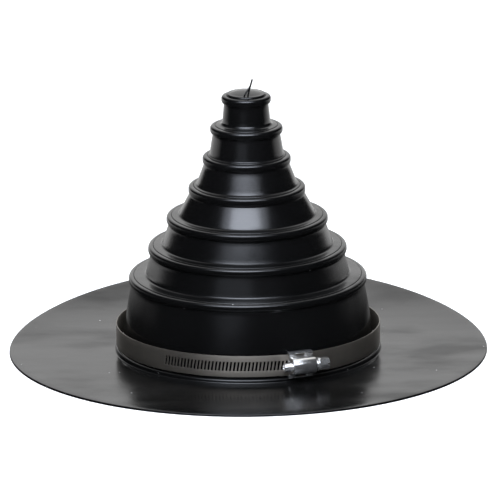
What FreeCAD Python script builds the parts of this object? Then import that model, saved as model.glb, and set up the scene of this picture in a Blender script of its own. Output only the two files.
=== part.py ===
# Stepped rubber pipe boot with a loose worm-drive clamp round its foot and a tie wire on its crown.
# All sizes are millimetres. The origin is the centre of the flange's underside, and Z points up.
# Angles round the boot are degrees from the front, which is -Y, towards +X.
import FreeCAD, Part
import math
import os

# Flange and foot of the boot
FLANGE_RADIUS = 159.2
FLANGE_THICKNESS = 1.6
FLANGE_EDGE_ROUND = 0.6
BASE_BEAD_GAP = 4.3          # from the foot of the lowest riser out to the middle of the base bead
BASE_BEAD_TOP = 4.3

# Stepped cone, with its steps listed from the lowest to the highest
WALL = 2.2
PIPE_FITS = [150.4, 124.2, 99.4, 69.8, 50.8, 40.4, 25.1]    # inside diameter at the top of each step
RISER_SPREADS = [6.8, 2.7, 3.1, 6.9, 5.6, 2.6, 2.6]         # each riser's foot stands out past its top
FIRST_STEP_HEIGHT = 47.4     # flange underside to the middle of the lowest step's bead
STEP_RISE = 20.3
BEAD_WIDTH = 3.2
BEAD_PROUD = 1.3             # each bead stands out past the riser under it
BEAD_ROUND = 1.55
GROOVE_DROP = 0.3            # the groove inside a bead lies below the bead's middle
TREAD_FALL = 1.0             # a tread falls from the foot of a riser out to the groove
FOOT_ROUND = 3.0
LEDGE_ROUND = 1.0
CROWN_RISE = 7.6
BOTTOM_STEP_BULGE = 0.5      # the tall lowest riser is slightly barrelled
BULGE_ROUND = 900.0

# Tie wire through the crown
WIRE_DIAMETER = 1.1
WIRE_CLEARANCE = 0.08
WIRE_LEG_SPACING = 2.4
WIRE_LEFT_LEG = -2.2         # place of the left leg along X
WIRE_LEG_OUT = 10.4          # the legs pass the crown this far in front of its middle
WIRE_HOOK_DEPTH = 1.3        # the bend under the crown, below the skin
WIRE_BEND_RADIUS = 1.0
WIRE_LEG_RISE = 2.2          # straight part of a leg above the crown
WIRE_KNOT_RISE = 8.0
WIRE_KNOT_SIDE = 1.6         # the legs meet this far to the right of the crown's middle
WIRE_TAIL_RISE = 5.2
WIRE_TAIL_LEAN = 1.5

# Clamp band
BAND_INSET = 1.2             # the band's inside lies this far inside the middle of the base bead
BAND_THICKNESS = 0.65
BAND_WIDTH = 14.2
LAYER_GAP = 0.05             # room between pressed pieces that lie on each other
RAMP_START = 13.8            # angle where the tail begins to climb over the fixed end
RAMP_ROOM = 1.0              # angle between the end of the climb and the fixed end
TAIL_PAST_HOUSING = 2.0
SLOTS_START = -38.0
SLOT_PITCH = 2.45
SLOT_WIDTH = 1.25
SLOT_HEIGHT = 6.2
SLOT_SLANT = 9.0
SLOT_MARGIN = 1.5            # plain metal left at the end of the tail

# Clamp saddle and housing
HOUSING_ANGLE = 22.5
HOUSING_LENGTH = 16.0
HOUSING_WALL = 0.9
SADDLE_LENGTH = 16.6
SADDLE_WALL = 1.0
SADDLE_EDGE_ROOM = 0.6       # between the edge of the band and the saddle's lips
TAB_LENGTH = 4.2
TAB_REACH = 2.2
FLANGE_EDGE_ROOM = 0.2       # between the edge of the housing's flanges and the saddle's lips
ARCH_FOOT_WIDTH = 12.4
NOTCH_TOP_WIDTH = 7.6
NOTCH_BOTTOM_WIDTH = 5.0
NOTCH_DEPTH = 1.5

# Worm screw
WORM_RADIUS = 4.2
WORM_ROOM = 0.3              # between the worm and the housing or the band
WORM_END_ROOM = 0.25
NECK_RADIUS = 2.7
NECK_ROOM = 0.08
NECK_LENGTH = 2.2            # bare neck between the housing and the collar
PILOT_LENGTH = 5.4
PILOT_HOLE_RADIUS = 1.5
PILOT_HOLE_DEPTH = 3.0
COLLAR_RADIUS = 4.4
COLLAR_THICKNESS = 1.6
HEAD_ACROSS_FLATS = 7.2
HEAD_LENGTH = 6.2
HEAD_EDGE = 0.5
DRIVE_SLOT_WIDTH = 1.3
DRIVE_SLOT_DEPTH = 1.8

REST_GAP = 0.05              # between the clamp and the bead that it lies on

ORIGIN = FreeCAD.Vector(0, 0, 0)
RIGHT = FreeCAD.Vector(1, 0, 0)
UP = FreeCAD.Vector(0, 0, 1)
FRONT = -90.0                # turn from +X to the front
FULL_TURN = 360.0
ROUNDING_SHARE = 0.96        # the most of a straight run that its roundings take up
HEXAGON_SIDES = 6

STEP_COUNT = len(PIPE_FITS)
TOP_STEP = STEP_COUNT - 1
BASE_BEAD_RADIUS = PIPE_FITS[0] / 2 + WALL + RISER_SPREADS[0] + BASE_BEAD_GAP
BAND_INNER_RADIUS = BASE_BEAD_RADIUS - BAND_INSET
BAND_OUTER_RADIUS = BAND_INNER_RADIUS + BAND_THICKNESS
TAIL_INNER_RADIUS = BAND_OUTER_RADIUS + LAYER_GAP
TAIL_OUTER_RADIUS = TAIL_INNER_RADIUS + BAND_THICKNESS
HOUSING_INNER_RADIUS = TAIL_OUTER_RADIUS + LAYER_GAP
HOUSING_FLANGE_RADIUS = HOUSING_INNER_RADIUS + HOUSING_WALL
TAB_INNER_RADIUS = HOUSING_FLANGE_RADIUS + LAYER_GAP
TAB_OUTER_RADIUS = TAB_INNER_RADIUS + SADDLE_WALL
SADDLE_OUTER_RADIUS = BAND_INNER_RADIUS - LAYER_GAP
SADDLE_INNER_RADIUS = SADDLE_OUTER_RADIUS - SADDLE_WALL
SCREW_AXIS_RADIUS = TAIL_OUTER_RADIUS + WORM_ROOM + WORM_RADIUS
WORM_BORE_RADIUS = WORM_RADIUS + WORM_ROOM
ARCH_TOP_RADIUS = SCREW_AXIS_RADIUS + WORM_BORE_RADIUS + HOUSING_WALL
BAND_LOW = BASE_BEAD_TOP + REST_GAP
BAND_HIGH = BAND_LOW + BAND_WIDTH
BAND_MIDDLE = (BAND_LOW + BAND_HIGH) / 2
SADDLE_DROP = SADDLE_EDGE_ROOM + SADDLE_WALL
HOUSING_HALF_ANGLE = math.degrees(HOUSING_LENGTH / 2 / BAND_OUTER_RADIUS)
SADDLE_HALF_ANGLE = math.degrees(SADDLE_LENGTH / 2 / BAND_OUTER_RADIUS)
FIXED_END = HOUSING_ANGLE - HOUSING_HALF_ANGLE
RAMP_END = FIXED_END - RAMP_ROOM
TAIL_END = HOUSING_ANGLE + HOUSING_HALF_ANGLE + math.degrees(TAIL_PAST_HOUSING / TAIL_OUTER_RADIUS)


def at(radius, height):
    """A point of a section that is turned about the boot's axis."""
    return FreeCAD.Vector(radius, 0, height)


def rounded_path(corners):
    """Edges from the first to the last of (point, rounding), with an arc at each rounded corner."""
    edges = []
    here = corners[0][0]
    for (before, round_before), (corner, rounding), (after, round_after) in zip(corners, corners[1:], corners[2:]):
        back = before - corner
        ahead = after - corner
        half_angle = back.getAngle(ahead) / 2
        room_back = back.Length * ROUNDING_SHARE / (2 if round_before else 1)
        room_ahead = ahead.Length * ROUNDING_SHARE / (2 if round_after else 1)
        reach = min(rounding / math.tan(half_angle), room_back, room_ahead)
        if reach > 0:
            back = back / back.Length
            ahead = ahead / ahead.Length
            radius = reach * math.tan(half_angle)
            bisector = back + ahead
            middle = corner + bisector / bisector.Length * (radius / math.sin(half_angle) - radius)
            start = corner + back * reach
            end = corner + ahead * reach
            edges.append(Part.LineSegment(here, start).toShape())
            edges.append(Part.Arc(start, middle, end).toShape())
            here = end
        else:
            edges.append(Part.LineSegment(here, corner).toShape())
            here = corner
    edges.append(Part.LineSegment(here, corners[-1][0]).toShape())
    return edges


def prism(points, sweep):
    """A solid with a straight-sided section, pushed along a vector."""
    return Part.Face(Part.makePolygon(points + points[:1])).extrude(sweep)


def sector(inner, outer, start, end, low, high):
    """A length of ring between two radii, two angles from the front and two heights."""
    section = Part.makePolygon([at(inner, low), at(outer, low), at(outer, high), at(inner, high), at(inner, low)])
    ring = Part.Face(section).revolve(ORIGIN, UP, end - start)
    ring.rotate(ORIGIN, UP, FRONT + start)
    return ring


def riser_top(step):
    return PIPE_FITS[step] / 2 + WALL


def riser_foot(step):
    return riser_top(step) + RISER_SPREADS[step]


def bead_outside(step):
    return riser_top(step) + BEAD_PROUD


def bead_height(step):
    return FIRST_STEP_HEIGHT + step * STEP_RISE


def groove_height(step):
    """Height of the groove inside a step's bead, or of the flange under the lowest step."""
    if step < 0:
        return FLANGE_THICKNESS
    return bead_height(step) - GROOVE_DROP


def dome(edge_radius, edge_height):
    """The arc of a crown, from its edge up to the axis."""
    sphere = (edge_radius ** 2 + CROWN_RISE ** 2) / (2 * CROWN_RISE)
    half_way = math.asin(edge_radius / sphere) / 2
    apex = at(0, edge_height + CROWN_RISE)
    middle = at(sphere * math.sin(half_way), apex.z - sphere * (1 - math.cos(half_way)))
    return Part.Arc(at(edge_radius, edge_height), middle, apex).toShape()


def outer_corners():
    """Outside of the boot, from the edge of the flange up to the groove round the crown."""
    base_outside = BASE_BEAD_RADIUS + BEAD_WIDTH / 2
    base_inside = BASE_BEAD_RADIUS - BEAD_WIDTH / 2
    corners = [
        (at(FLANGE_RADIUS, 0), 0),
        (at(FLANGE_RADIUS, FLANGE_THICKNESS), FLANGE_EDGE_ROUND),
        (at(base_outside, FLANGE_THICKNESS), 0),
        (at(base_outside, BASE_BEAD_TOP), BEAD_ROUND),
        (at(base_inside, BASE_BEAD_TOP), BEAD_ROUND),
        (at(base_inside, FLANGE_THICKNESS), 0),
    ]
    for step in range(STEP_COUNT):
        bead_low = bead_height(step) - BEAD_WIDTH / 2
        bead_top = bead_height(step) + BEAD_WIDTH / 2
        bead_inside = bead_outside(step) - BEAD_WIDTH
        corners.append((at(riser_foot(step), groove_height(step - 1) + TREAD_FALL), FOOT_ROUND))
        if step == 0:
            corners.append(bottom_step_knee())
        corners.append((at(riser_top(step), bead_low), 0))
        corners.append((at(bead_outside(step), bead_low), BEAD_ROUND))
        corners.append((at(bead_outside(step), bead_top), BEAD_ROUND))
        corners.append((at(bead_inside, bead_top), BEAD_ROUND))
        corners.append((at(bead_inside, groove_height(step)), 0))
    return corners


def bottom_step_knee():
    """Corner half-way up the lowest riser, rounded off along most of its height."""
    middle_radius = (riser_top(0) + riser_foot(0)) / 2 + BOTTOM_STEP_BULGE
    return at(middle_radius, FIRST_STEP_HEIGHT / 2), BULGE_ROUND


def inner_corners():
    """Inside of the boot, from the edge of the crown's inside down to the flange's underside."""
    corners = [(at(PIPE_FITS[TOP_STEP] / 2, groove_height(TOP_STEP) - WALL), 0)]
    corners.append((at(PIPE_FITS[TOP_STEP] / 2, groove_height(TOP_STEP - 1) - WALL), LEDGE_ROUND))
    for step in reversed(range(TOP_STEP)):
        corners.append((at(PIPE_FITS[step] / 2, groove_height(step) - WALL), LEDGE_ROUND))
        foot_height = groove_height(step - 1) - WALL if step else 0
        corners.append((at(riser_foot(step) - WALL, foot_height), FOOT_ROUND))
    return corners


def rubber_boot():
    """The moulded boot: one turned section with holes for the tie wire."""
    outside = rounded_path(outer_corners())
    inside = rounded_path(inner_corners())
    crown_edge = outside[-1].lastVertex().Point
    socket_edge = inside[0].firstVertex().Point
    crown = dome(crown_edge.x, crown_edge.z)
    crown_inside = dome(socket_edge.x, socket_edge.z)
    axis = Part.LineSegment(crown.lastVertex().Point, crown_inside.lastVertex().Point).toShape()
    underside = Part.LineSegment(inside[-1].lastVertex().Point, outside[0].firstVertex().Point).toShape()
    section = Part.Wire(Part.__sortEdges__(outside + [crown, axis, crown_inside] + inside + [underside]))
    boot = Part.Face(section).revolve(ORIGIN, UP, FULL_TURN)
    hole_depth = CROWN_RISE + WALL
    for leg_top in wire_leg_tops():
        hole = Part.makeCylinder(WIRE_DIAMETER / 2 + WIRE_CLEARANCE, hole_depth, leg_top - UP * hole_depth, UP)
        boot = boot.cut(hole)
    return boot


def wire_leg_tops():
    """Where the two legs of the tie wire bend, above the crown."""
    crown_top = groove_height(TOP_STEP) + CROWN_RISE
    left = FreeCAD.Vector(WIRE_LEFT_LEG, -WIRE_LEG_OUT, crown_top)
    right = left + FreeCAD.Vector(WIRE_LEG_SPACING, 0, 0)
    return left, right


def tie_wire():
    """A wire hooked through the crown, with its legs drawn together and one end left standing."""
    left, right = wire_leg_tops()
    crown_top = left.z
    skin_inside = dome(PIPE_FITS[TOP_STEP] / 2, groove_height(TOP_STEP) - WALL)
    leg_radius = max(leg.Length for leg in (FreeCAD.Vector(left.x, left.y, 0), FreeCAD.Vector(right.x, right.y, 0)))
    sphere = skin_inside.Curve.Radius
    sphere_centre = skin_inside.lastVertex().Point.z - sphere
    skin_height = sphere_centre + math.sqrt(sphere ** 2 - leg_radius ** 2)
    hook = skin_height - WIRE_HOOK_DEPTH - WIRE_DIAMETER / 2
    bend_height = crown_top - CROWN_RISE / 2 + WIRE_LEG_RISE
    knot = FreeCAD.Vector(WIRE_KNOT_SIDE, -WIRE_LEG_OUT, bend_height + WIRE_KNOT_RISE - WIRE_LEG_RISE)
    beside = FreeCAD.Vector(0, WIRE_DIAMETER + WIRE_CLEARANCE, 0)
    tip = knot + FreeCAD.Vector(WIRE_TAIL_LEAN, 0, WIRE_TAIL_RISE)
    path = [
        (knot + beside, 0),
        (FreeCAD.Vector(left.x, left.y, bend_height), WIRE_BEND_RADIUS * 2),
        (FreeCAD.Vector(left.x, left.y, hook), WIRE_BEND_RADIUS),
        (FreeCAD.Vector(right.x, right.y, hook), WIRE_BEND_RADIUS),
        (FreeCAD.Vector(right.x, right.y, bend_height), WIRE_BEND_RADIUS * 2),
        (knot, WIRE_BEND_RADIUS * 2),
        (tip, 0),
    ]
    spine = Part.Wire(rounded_path(path))
    start = path[0][0]
    section = Part.Wire(Part.makeCircle(WIRE_DIAMETER / 2, start, path[1][0] - start))
    return spine.makePipeShell([section], True, True)


def band_slots():
    """Slanted cutters for the slots, from the first slot to the end of the tail."""
    pitch = math.degrees(SLOT_PITCH / BAND_OUTER_RADIUS)
    last = TAIL_END - math.degrees((SLOT_MARGIN + SLOT_WIDTH) / TAIL_OUTER_RADIUS)
    cutters = []
    for number in range(int((last - SLOTS_START) / pitch) + 1):
        angle = SLOTS_START + number * pitch
        over_fixed_end = angle > RAMP_END
        inside = TAIL_INNER_RADIUS - LAYER_GAP / 2 if over_fixed_end else SADDLE_INNER_RADIUS
        corner = FreeCAD.Vector(-SLOT_WIDTH / 2, -HOUSING_FLANGE_RADIUS, -SLOT_HEIGHT / 2)
        cutter = Part.makeBox(SLOT_WIDTH, HOUSING_FLANGE_RADIUS - inside, SLOT_HEIGHT, corner)
        cutter.rotate(ORIGIN, FreeCAD.Vector(0, 1, 0), SLOT_SLANT)
        cutter.translate(FreeCAD.Vector(0, 0, BAND_MIDDLE))
        cutter.rotate(ORIGIN, UP, angle)
        cutters.append(cutter)
    return cutters


def band_corner(radius, angle):
    """A point on the band's lower edge."""
    turn = math.radians(FRONT + angle)
    return FreeCAD.Vector(radius * math.cos(turn), radius * math.sin(turn), BAND_LOW)


def clamp_band():
    """The strip: fixed end under the housing, once round, then the slotted tail on top of it."""
    loop = sector(BAND_INNER_RADIUS, BAND_OUTER_RADIUS, FIXED_END, RAMP_START + FULL_TURN, BAND_LOW, BAND_HIGH)
    ramp = prism(
        [
            band_corner(BAND_INNER_RADIUS, RAMP_START),
            band_corner(BAND_OUTER_RADIUS, RAMP_START),
            band_corner(TAIL_OUTER_RADIUS, RAMP_END),
            band_corner(TAIL_INNER_RADIUS, RAMP_END),
        ],
        UP * BAND_WIDTH,
    )
    tail = sector(TAIL_INNER_RADIUS, TAIL_OUTER_RADIUS, RAMP_END, TAIL_END, BAND_LOW, BAND_HIGH)
    strip = loop.fuse([ramp, tail])
    return strip.cut(band_slots())


def clamp_saddle():
    """The bridge under the band, with a lip above and below it and tabs folded over the housing."""
    start = HOUSING_ANGLE - SADDLE_HALF_ANGLE
    end = HOUSING_ANGLE + SADDLE_HALF_ANGLE
    low = BAND_LOW - SADDLE_DROP
    high = BAND_HIGH + SADDLE_DROP
    tab_angle = math.degrees(TAB_LENGTH / TAB_OUTER_RADIUS)
    pieces = [sector(SADDLE_INNER_RADIUS, SADDLE_OUTER_RADIUS, start, end, low, high)]
    for lip_low, tab_low in ((low, low), (high - SADDLE_WALL, high - TAB_REACH)):
        pieces.append(sector(SADDLE_INNER_RADIUS, TAB_OUTER_RADIUS, start, end, lip_low, lip_low + SADDLE_WALL))
        for tab_start in (start, end - tab_angle):
            tab_end = tab_start + tab_angle
            tab = sector(TAB_INNER_RADIUS, TAB_OUTER_RADIUS, tab_start, tab_end, tab_low, tab_low + TAB_REACH)
            pieces.append(tab)
    return pieces[0].fuse(pieces[1:]).removeSplitter()


def clamp_housing():
    """The arched barrel over the tail, with notched flanges held by the saddle."""
    half_length = HOUSING_LENGTH / 2
    flange_room = SADDLE_EDGE_ROOM - FLANGE_EDGE_ROOM
    start = HOUSING_ANGLE - HOUSING_HALF_ANGLE
    end = HOUSING_ANGLE + HOUSING_HALF_ANGLE
    low = BAND_LOW - flange_room
    high = BAND_HIGH + flange_room
    flange = sector(HOUSING_INNER_RADIUS, HOUSING_FLANGE_RADIUS, start, end, low, high)
    housing = flange.fuse(facing_front_right(housing_arch(half_length)))
    clear_band = Part.makeCylinder(HOUSING_INNER_RADIUS, BAND_WIDTH * 2, FreeCAD.Vector(0, 0, BAND_LOW - BAND_WIDTH / 2))
    housing = housing.cut(clear_band)
    return housing.cut([facing_front_right(tool) for tool in housing_cutters(half_length, low, high)]).removeSplitter()


def facing_front_right(shape):
    """Turns a piece that was modelled at the front round to the housing's place."""
    turned = shape.copy()
    turned.rotate(ORIGIN, UP, HOUSING_ANGLE)
    return turned


def housing_arch(half_length):
    """The arch over the worm, modelled at the front and reaching down into the band."""
    foot = -(HOUSING_INNER_RADIUS * math.cos(math.radians(HOUSING_HALF_ANGLE)) - HOUSING_WALL)
    shoulder = WORM_BORE_RADIUS + HOUSING_WALL
    corners = []
    for side, out in ((-ARCH_FOOT_WIDTH / 2, foot), (-shoulder, -ARCH_TOP_RADIUS), (shoulder, -ARCH_TOP_RADIUS),
                      (ARCH_FOOT_WIDTH / 2, foot)):
        corners.append((FreeCAD.Vector(-half_length, out, BAND_MIDDLE + side), shoulder))
    edges = rounded_path(corners)
    edges.append(Part.LineSegment(corners[-1][0], corners[0][0]).toShape())
    return Part.Face(Part.Wire(edges)).extrude(RIGHT * HOUSING_LENGTH)


def housing_cutters(half_length, low, high):
    """Room for the worm and its neck, and the notch in each flange, modelled at the front."""
    inside = half_length - HOUSING_WALL
    axis = FreeCAD.Vector(0, -SCREW_AXIS_RADIUS, BAND_MIDDLE)
    bore = Part.makeCylinder(WORM_BORE_RADIUS, 2 * inside, axis - RIGHT * inside, RIGHT)
    neck = Part.makeCylinder(NECK_RADIUS + NECK_ROOM, 2 * HOUSING_LENGTH, axis - RIGHT * HOUSING_LENGTH, RIGHT)
    channel_corner = FreeCAD.Vector(-inside, -SCREW_AXIS_RADIUS, BAND_MIDDLE - WORM_BORE_RADIUS)
    channel = Part.makeBox(2 * inside, SCREW_AXIS_RADIUS - SADDLE_INNER_RADIUS, 2 * WORM_BORE_RADIUS, channel_corner)
    cutters = [bore, neck, channel]
    for edge, inward in ((low, 1), (high, -1)):
        notch = []
        for half_width, height in ((NOTCH_TOP_WIDTH / 2, edge), (NOTCH_BOTTOM_WIDTH / 2, edge + inward * NOTCH_DEPTH)):
            notch.append(FreeCAD.Vector(half_width, -SADDLE_INNER_RADIUS, height))
            notch.insert(0, FreeCAD.Vector(-half_width, -SADDLE_INNER_RADIUS, height))
        cutters.append(prism(notch, FreeCAD.Vector(0, SADDLE_INNER_RADIUS - TAB_OUTER_RADIUS, 0)))
    return cutters


def worm_screw():
    """The screw along the housing: hollow pilot, worm, bare neck, collar and slotted hexagon head."""
    half_length = HOUSING_LENGTH / 2
    axis = FreeCAD.Vector(0, -SCREW_AXIS_RADIUS, BAND_MIDDLE)
    worm_half = half_length - HOUSING_WALL - WORM_END_ROOM
    pilot_end = axis - RIGHT * (half_length + PILOT_LENGTH)
    collar_start = axis + RIGHT * (half_length + NECK_LENGTH)
    head_start = collar_start + RIGHT * COLLAR_THICKNESS
    neck = Part.makeCylinder(NECK_RADIUS, (collar_start - pilot_end).Length, pilot_end, RIGHT)
    worm = Part.makeCylinder(WORM_RADIUS, 2 * worm_half, axis - RIGHT * worm_half, RIGHT)
    collar = Part.makeCylinder(COLLAR_RADIUS, COLLAR_THICKNESS, collar_start, RIGHT)
    screw = neck.fuse([worm, collar, hexagon_head(head_start)])
    pilot_hole = Part.makeCylinder(PILOT_HOLE_RADIUS, PILOT_HOLE_DEPTH, pilot_end, RIGHT)
    slot_start = head_start + FreeCAD.Vector(HEAD_LENGTH - DRIVE_SLOT_DEPTH, -HEAD_ACROSS_FLATS, -DRIVE_SLOT_WIDTH / 2)
    slot = Part.makeBox(DRIVE_SLOT_DEPTH, 2 * HEAD_ACROSS_FLATS, DRIVE_SLOT_WIDTH, slot_start)
    return facing_front_right(screw.cut([pilot_hole, slot]).removeSplitter())


def hexagon_head(start):
    """A hexagon with its outer corners chamfered by a cone."""
    corner_radius = HEAD_ACROSS_FLATS / 2 / math.cos(math.pi / HEXAGON_SIDES)
    corners = []
    for number in range(HEXAGON_SIDES):
        turn = 2 * math.pi * number / HEXAGON_SIDES
        corners.append(start + FreeCAD.Vector(0, corner_radius * math.cos(turn), corner_radius * math.sin(turn)))
    hexagon = prism(corners, RIGHT * HEAD_LENGTH)
    wide_end = corner_radius - HEAD_EDGE + HEAD_LENGTH
    chamfer = Part.makeCone(wide_end, corner_radius - HEAD_EDGE, HEAD_LENGTH, start, RIGHT)
    return hexagon.common(chamfer)


def settled(piece):
    """Leans the level clamp forward on the base bead, so that the saddle and the back of the band rest on it."""
    back = FreeCAD.Vector(0, (BAND_INNER_RADIUS + BAND_OUTER_RADIUS) / 2, BAND_LOW)
    reach = SADDLE_INNER_RADIUS * math.cos(math.radians(HOUSING_ANGLE + SADDLE_HALF_ANGLE)) + back.y
    piece.rotate(back, RIGHT, -math.degrees(math.asin(SADDLE_DROP / reach)))
    return piece


def write_parts():
    """Builds every piece and writes it to its own file."""
    os.makedirs("parts", exist_ok=True)
    pieces = {
        "rubber_boot": rubber_boot(),
        "tie_wire": tie_wire(),
        "clamp_band": settled(clamp_band()),
        "clamp_saddle": settled(clamp_saddle()),
        "clamp_housing": settled(clamp_housing()),
        "worm_screw": settled(worm_screw()),
    }
    for name, shape in pieces.items():
        shape.exportStep("parts/" + name + ".step")
        print(name, shape.ShapeType, len(shape.Solids), shape.isValid(), round(shape.Volume, 1))


write_parts()
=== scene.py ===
# Dresses a stepped rubber pipe boot and its worm-drive clamp for a studio picture.
# Lengths are metres in the part's own frame: Z up, front at -Y, flange underside at zero.
import math
from typing import NamedTuple

import bmesh
import bpy
from bpy.props import FloatProperty, FloatVectorProperty, PointerProperty
from mathutils import Matrix, Quaternion, Vector


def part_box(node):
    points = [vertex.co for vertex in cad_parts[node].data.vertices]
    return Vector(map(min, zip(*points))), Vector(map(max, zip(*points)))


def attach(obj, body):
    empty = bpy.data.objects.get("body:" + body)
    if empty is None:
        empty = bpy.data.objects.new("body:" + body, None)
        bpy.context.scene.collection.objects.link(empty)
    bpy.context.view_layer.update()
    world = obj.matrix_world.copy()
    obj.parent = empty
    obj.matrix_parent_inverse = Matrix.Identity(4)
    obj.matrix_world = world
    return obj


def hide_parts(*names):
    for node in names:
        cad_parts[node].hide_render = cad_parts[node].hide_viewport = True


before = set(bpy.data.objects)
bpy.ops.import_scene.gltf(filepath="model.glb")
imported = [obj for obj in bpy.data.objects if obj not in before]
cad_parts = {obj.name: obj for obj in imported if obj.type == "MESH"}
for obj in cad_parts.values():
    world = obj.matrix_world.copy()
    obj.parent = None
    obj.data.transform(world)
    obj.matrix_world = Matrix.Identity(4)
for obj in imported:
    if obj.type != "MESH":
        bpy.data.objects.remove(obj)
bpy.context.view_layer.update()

bl_info = {
    "name": "Pipe Boot",
    "version": (1, 0, 0),
    "blender": (4, 5, 0),
    "location": "View3D > Sidebar > Pipe Boot",
    "description": "Builds a stepped rubber pipe boot with its clamp, and a studio stage",
    "category": "Object",
}

MM = 0.001
FULL_TURN = 2 * math.pi
UP = Vector((0, 0, 1))
RIGHT = Vector((1, 0, 0))
ORIGIN = Vector((0, 0, 0))
WHITE = (1, 1, 1, 1)
COOL_WHITE = (0.82, 0.88, 1.0)

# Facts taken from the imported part
_, BOOT_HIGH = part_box("rubber_boot")
BAND_LOW, BAND_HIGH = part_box("clamp_band")

# How finely the meshes are made
SPIN_STEPS = 224
ROUND_SEGMENTS = 5
ROW_LENGTH = 2.4 * MM
FLANGE_ROW_LENGTH = 4.5 * MM
CROWN_ROWS = 10
ROUNDING_SHARE = 0.96
WELD = 1e-6
SHARP_ANGLE = math.radians(35)
FLAT_ANGLE = math.radians(0.6)
BAND_COLUMN = math.radians(1.5)
EDGE_SEGMENTS = 2
ROUND_PROFILE = 0.5

# Roundings of the boot's small corners, as shares of what they sit on
RIM_FOOT_SHARE = 0.3
RIM_TOP_SHARE = 0.4
BASE_BEAD_OUTSIDE_SHARE = 0.5
BASE_BEAD_INSIDE_SHARE = 0.3
BEAD_FOOT_SHARE = 0.6

# A radius so wide that a corner is rounded as far as its sides have room
WIDEST_ROUND = 1.0

# Sockets of the Mix node that hold colours
MIX_FIRST = 6
MIX_SECOND = 7
MIX_RESULT = 2

# Marks on the rubber: scales of the noises, stretches, and the ranges that become masks
FACING_UP = (0.5, 0.95)
SIDE_DUST = 0.15
PATCH_SCALE = 14
PATCH_DETAIL = 5
PATCH_RANGE = (0.42, 0.72)
WIPE_SCALE = 9
WIPE_DETAIL = 4
WIPE_STRETCH = (1.0, 7.0, 1.0)
WIPE_RANGE = (0.4, 0.68)
SMEAR_SCALE = 11
SMEAR_DETAIL = 6
SMEAR_STRETCH = (1.0, 2.0, 1.0)
SMEAR_RANGE = (0.46, 0.66)
SPECK_SCALE = 120.0
SPECK_EDGE = (0.04, 0.07)
SPECK_RARITY = 0.8
GRAIN_SCALE = 2600
GRAIN_DETAIL = 2
GRAIN_HEIGHT = 0.25
WAVE_SCALE = 45
WAVE_DETAIL = 2
WAVE_HEIGHT = 3.0
CLEAN_SHINE = 0.5
RUBBER_IOR = 1.5
RUBBER_BUMP = 0.25
RUBBER_RELIEF = 0.12 * MM

# Marks on the steel
STREAK_SCALE = 60
STREAK_DETAIL = 4
STREAK_STRETCH = (1.0, 1.0, 60.0)
STREAK_RANGE = (0.3, 0.7)
STAIN_SCALE = 70
STAIN_DETAIL = 4
STAIN_RANGE = (0.45, 0.75)
STAIN_BROWN = (0.22, 0.19, 0.16, 1)
STEEL_BUMP = 0.08
STEEL_RELIEF = 0.03 * MM
BRUSHING_TURN = 0.25

# The room: where its dark front turns into its white back, along the floor and by direction
FLOOR_WHITE = (0.8, 0.8, 0.8, 1)
FLOOR_ROUGHNESS = 0.9
FLOOR_TURN = (0.1, 0.6)
WALL_SIDES = (0.25, 0.6)
WALL_TURN = (0.1, 0.4)
WALL_TOP = (0.3, 0.7)


class RubberFinish(NamedTuple):
    """How dusty, smooth and marked a black surface is."""

    dust: float
    gloss: float
    specks: float = 1.0
    wipes: float = 0.08
    smears: float = 0.35


class SteelFinish(NamedTuple):
    """How smooth, streaked, stained, dull and brushed a steel surface is."""

    gloss: float
    streaks: float
    stains: float
    film: float
    brushing: float = 0.0


class Lamp(NamedTuple):
    """A soft lamp's place, the point that it faces, and its size."""

    place: tuple
    aim: tuple
    width: float
    height: float


BOOT_FINISH = RubberFinish(dust=0.02, gloss=0.18)
WIRE_FINISH = RubberFinish(dust=0.02, gloss=0.35)
BAND_FINISH = SteelFinish(gloss=0.4, streaks=0.1, stains=0.35, film=0.28, brushing=0.85)
HOUSING_FINISH = SteelFinish(gloss=0.2, streaks=0.06, stains=0.2, film=0.05)
SCREW_FINISH = SteelFinish(gloss=0.22, streaks=0.06, stains=0.15, film=0.1)
SOFTBOX = Lamp(place=(-0.08, -1.14, 1.12), aim=(0, 0, 0.1), width=2.2, height=1.1)
SOFTBOX_CORE = Lamp(place=(-0.08, -1.12, 1.1), aim=(0, 0, 0.1), width=1.3, height=0.6)
OVERHEAD = Lamp(place=(0, -0.35, 1.7), aim=(0, 0, 0), width=1.4, height=0.8)
FILL = Lamp(place=(-0.8, -2.8, 0.95), aim=(0, 0, 0.1), width=2.4, height=1.8)


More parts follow.
